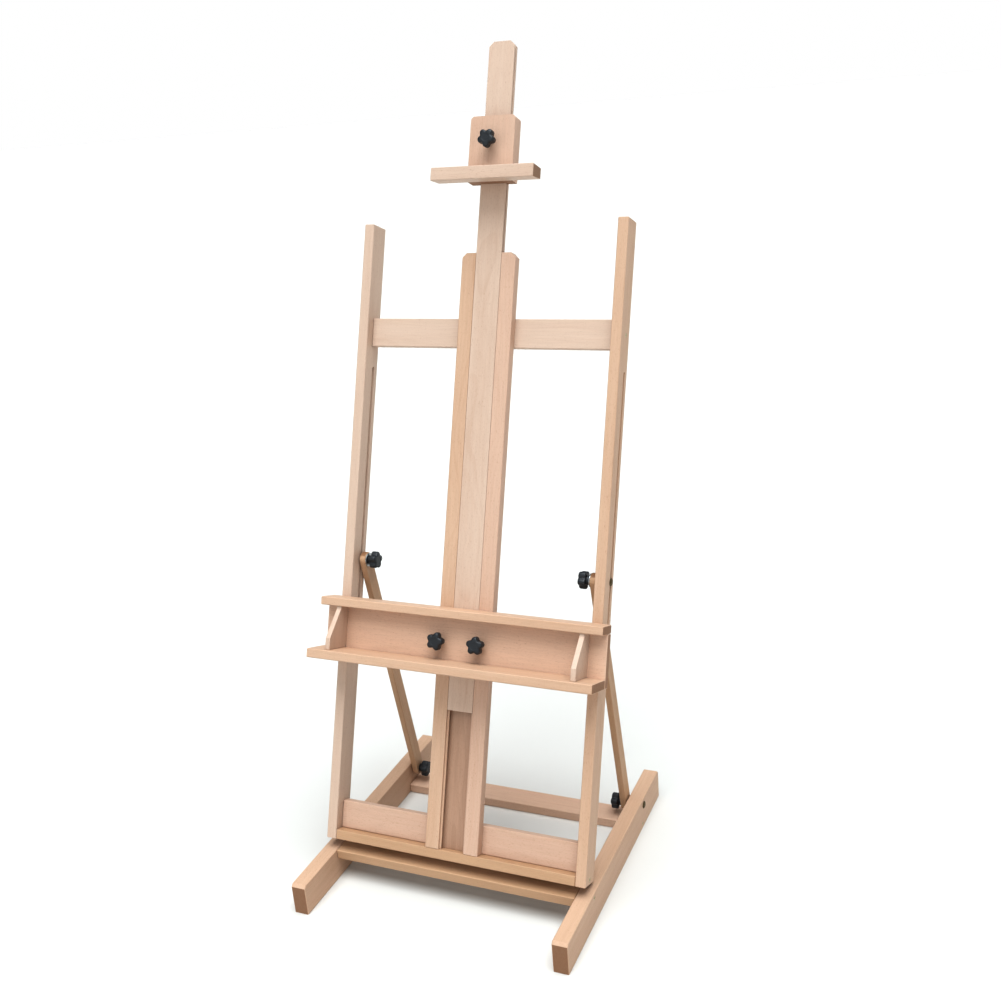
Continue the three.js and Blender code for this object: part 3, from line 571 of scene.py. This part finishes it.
for side, sign in SIDES:
    for kind in ("slot", "foot"):
        node = f"{side}_{kind}_bolt"
        low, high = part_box(node)
        tip, crown = (low.x, high.x) if sign > 0 else (high.x, low.x)
        length = abs(crown - tip) / MM - BOLT_HEAD_T
        neck = [(BOLT_R, length - BOLT_NECK), (BOLT_R + BOLT_NECK, length)]
        rings = BOLT_SHANK + neck + [(r, length + h) for r, h in BOLT_HEAD]
        centre = (low + high) / 2
        place = axis_frame((tip, centre.y, centre.z), (sign, 0, 0))
        mesh = lathe(f"{node}_turned", rings, TURNED_STEPS)
        finished(f"{node}_turned", mesh, BRONZE_AND_REFLECTION_LOOK, place, node)


WASHER_HOLE_R = 3.2
WASHER_ROUND = 0.35
WASHER_ROUND_SHARE = 0.3  # of the thickness, at most


def washer_rings(outer, thick):
    """Rings of a flat washer with rounded rims, from the hole round to the hole again."""
    hole = WASHER_HOLE_R
    r = min(WASHER_ROUND, thick * WASHER_ROUND_SHARE)
    return [
        (hole + r, 0), (outer - r, 0), (outer - 0.3 * r, 0.3 * r), (outer, r), (outer, thick - r),
        (outer - 0.3 * r, thick - 0.3 * r), (outer - r, thick), (hole + r, thick),
        (hole, thick - r), (hole, r), (hole + r, 0),
    ]


def weld_first_and_last(mesh):
    """Joins the last ring of a lathed mesh to its first, which stands in the same place."""
    build = bmesh.new()
    build.from_mesh(mesh)
    bmesh.ops.remove_doubles(build, verts=build.verts, dist=SAME_POINT)
    bmesh.ops.recalc_face_normals(build, faces=build.faces)
    build.to_mesh(mesh)
    build.free()


def washer(node, name, sign):
    low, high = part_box(node)
    centre = (low + high) / 2
    thick = (high.x - low.x) / MM
    outer = (high.z - low.z) / 2 / MM
    start = low.x if sign > 0 else high.x
    mesh = lathe(name, washer_rings(outer, thick), TURNED_STEPS)
    weld_first_and_last(mesh)
    place = axis_frame((start, centre.y, centre.z), (sign, 0, 0))
    finished(name, mesh, STEEL_LOOK, place, node)


for side, sign in SIDES:
    for kind in ("slot_spacer", "slot_plate", "foot_spacer"):
        washer(f"{side}_{kind}_washer", f"{side}_{kind}_ring", sign)

# ---------------------------------------------------------------- wood screws

SCREW_HEAD = [(4.1, 0), (4.2, -0.12), (4.2, -0.45)]
SCREW_R = 2.0
SCREW_CONE = 3.0
SCREW_PITCH = 1.8
SCREW_ROWS = 5  # rings to one turn of the thread
SCREW_GROOVE = 0.55
SCREW_TAPER = 6  # length of the point
SCREW_POINT_CUT = 1.3
RECESS_R = 2.3
RECESS_HALF = 0.45
RECESS_DEPTH = 1.5
RECESS_TAPER = 0.72


def screw_mesh(name, length):
    """Countersunk screw with a cross recess, head up on local Z and its top at z = 0."""
    rows = int((length - SCREW_CONE) / SCREW_PITCH * SCREW_ROWS)
    shank = [(SCREW_R, -SCREW_CONE - (length - SCREW_CONE) * i / rows) for i in range(rows + 1)]
    rings = SCREW_HEAD + shank + [(0, -length)]

    def thread(number, angle):
        height = rings[number][1]
        if number <= len(SCREW_HEAD):
            return 0
        turn = (height / SCREW_PITCH - angle / math.tau) % 1
        taper = min(1, (length + height) / SCREW_TAPER)
        return -SCREW_GROOVE * abs(2 * turn - 1) - SCREW_POINT_CUT * (1 - taper)

    mesh = lathe(name, rings, THREAD_STEPS, thread)
    build = bmesh.new()
    build.from_mesh(mesh)
    rim = [v for v in build.verts if v.co.z > -1e-9]
    edges = [e for e in build.edges if e.verts[0] in rim and e.verts[1] in rim]
    cross = [(RECESS_R, -RECESS_HALF), (RECESS_R, RECESS_HALF), (RECESS_HALF, RECESS_HALF)]
    for _ in range(3):
        cross += [(-y, x) for x, y in cross[-3:]]
    mouth = [build.verts.new((x * MM, y * MM, 0)) for x, y in cross]
    inner = RECESS_TAPER
    floor = [build.verts.new((x * inner * MM, y * inner * MM, -RECESS_DEPTH * MM)) for x, y in cross]
    for i in range(len(cross)):
        after = (i + 1) % len(cross)
        edges.append(build.edges.new((mouth[i], mouth[after])))
        build.faces.new((mouth[i], mouth[after], floor[after], floor[i]))
    build.faces.new(floor)
    bmesh.ops.triangle_fill(build, use_beauty=True, edges=edges)
    bmesh.ops.recalc_face_normals(build, faces=build.faces)
    build.to_mesh(mesh)
    build.free()
    return mesh


for kind in ("front_crossbar", "rear_crossbar", "upper_crossbar", "ledge"):
    for side, sign in SIDES:
        node = f"{side}_{kind}_screw"
        low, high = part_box(node)
        centre = (low + high) / 2
        head = high.x if sign > 0 else low.x
        mesh = screw_mesh(f"{node}_cut", (high.x - low.x) / MM)
        place = axis_frame((head, centre.y, centre.z), (sign, 0, 0))
        finished(f"{node}_cut", mesh, ZINC_LOOK, place, node)

LEAF_EDGE_MM = 0.15
PIN_EDGE_MM = 0.2

for name in both("hinge_lower_leaf") + both("hinge_upper_leaf"):
    soften(dress(name, ZINC_LOOK), LEAF_EDGE_MM, 2)
for name in both("hinge_pin"):
    soften(dress(name, STEEL_LOOK), PIN_EDGE_MM, 2)

# ---------------------------------------------------------------- room, light and camera

FLOOR_HALF = 90  # metres
LOW_SKY = (0.24, 0.4)  # sines of the heights between which the horizon's band fades
HIGH_SKY = (0.5, 1.0)  # and between which the light overhead comes in
DAYLIGHT = (0.91, 0.965, 1.0)
GAMMA = 0.78
LENS_MM = 42.857
SENSOR_MM = 36
CAMERA_PLACE = (0.95567, -1.95290, 1.52485)
CAMERA_TURN = (70.4919, 4.3910, 22.8452)  # degrees
SIGHT = 60  # metres

def room():
    mesh = bpy.data.meshes.new("floor")
    r = FLOOR_HALF
    mesh.from_pydata([(-r, -r, 0), (r, -r, 0), (r, r, 0), (-r, r, 0)], [], [(0, 1, 2, 3)])
    floor = bpy.data.objects.new("floor", mesh)
    bpy.context.scene.collection.objects.link(floor)
    look = Look("pale_floor")
    place = look.coords.outputs["Object"]
    cloud = look.noise(place, (0.8, 0.8, 0.8), 3.0)
    look.put(look.shader, "Base Color", look.mix(cloud, srgb(210, 208, 204), srgb(214, 212, 208)))
    look.shader.inputs["Roughness"].default_value = 0.9
    look.shader.inputs["Specular IOR Level"].default_value = 0.1
    mesh.materials.append(look.material)


def sky(horizon, middle, zenith):
    """World light: a bright band on the horizon, dim above it, brighter overhead."""
    world = bpy.data.worlds.new("studio")
    world.use_nodes = True
    tree = world.node_tree
    background = tree.nodes["Background"]
    background.inputs["Color"].default_value = (1, 1, 1, 1)
    coords = tree.nodes.new("ShaderNodeTexCoord")
    parts = tree.nodes.new("ShaderNodeSeparateXYZ")
    tree.links.new(coords.outputs["Generated"], parts.inputs[0])
    strength = horizon
    for low, high, above in ((*LOW_SKY, middle), (*HIGH_SKY, zenith)):
        step = tree.nodes.new("ShaderNodeMapRange")
        step.interpolation_type = "SMOOTHSTEP"
        step.inputs[1].default_value = low
        step.inputs[2].default_value = high
        step.inputs[4].default_value = above
        if isinstance(strength, bpy.types.NodeSocket):
            tree.links.new(strength, step.inputs[3])
        else:
            step.inputs[3].default_value = strength
        tree.links.new(parts.outputs[2], step.inputs[0])
        strength = step.outputs[0]
    tree.links.new(strength, background.inputs["Strength"])
    bpy.context.scene.world = world


def sun(name, source, strength, spread):
    """Soft parallel light that comes from the direction of source; spread is in degrees."""
    light = bpy.data.lights.new(name, "SUN")
    light.energy = strength
    light.angle = math.radians(spread)
    light.color = DAYLIGHT
    piece = bpy.data.objects.new(name, light)
    bpy.context.scene.collection.objects.link(piece)
    piece.matrix_world = (-Vector(source)).to_track_quat("-Z", "Y").to_matrix().to_4x4()


room()
sky(1.0, 0.04, 0.15)
sun("top", (0.12, -0.14, 1), 4.7, 55)
sun("front", (-0.15, -1, 0.8), 0.8, 50)
bpy.context.scene.view_settings.view_transform = "Standard"
bpy.context.scene.view_settings.gamma = GAMMA

camera = bpy.data.objects.new("camera", bpy.data.cameras.new("camera"))
camera.data.lens = LENS_MM
camera.data.sensor_width = SENSOR_MM
camera.location = CAMERA_PLACE
camera.rotation_euler = [math.radians(a) for a in CAMERA_TURN]
camera.data.clip_end = SIGHT
bpy.context.scene.collection.objects.link(camera)
bpy.context.scene.camera = camera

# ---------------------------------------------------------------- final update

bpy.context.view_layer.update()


def plain(box):
    return [[float(value) for value in corner] for corner in box]
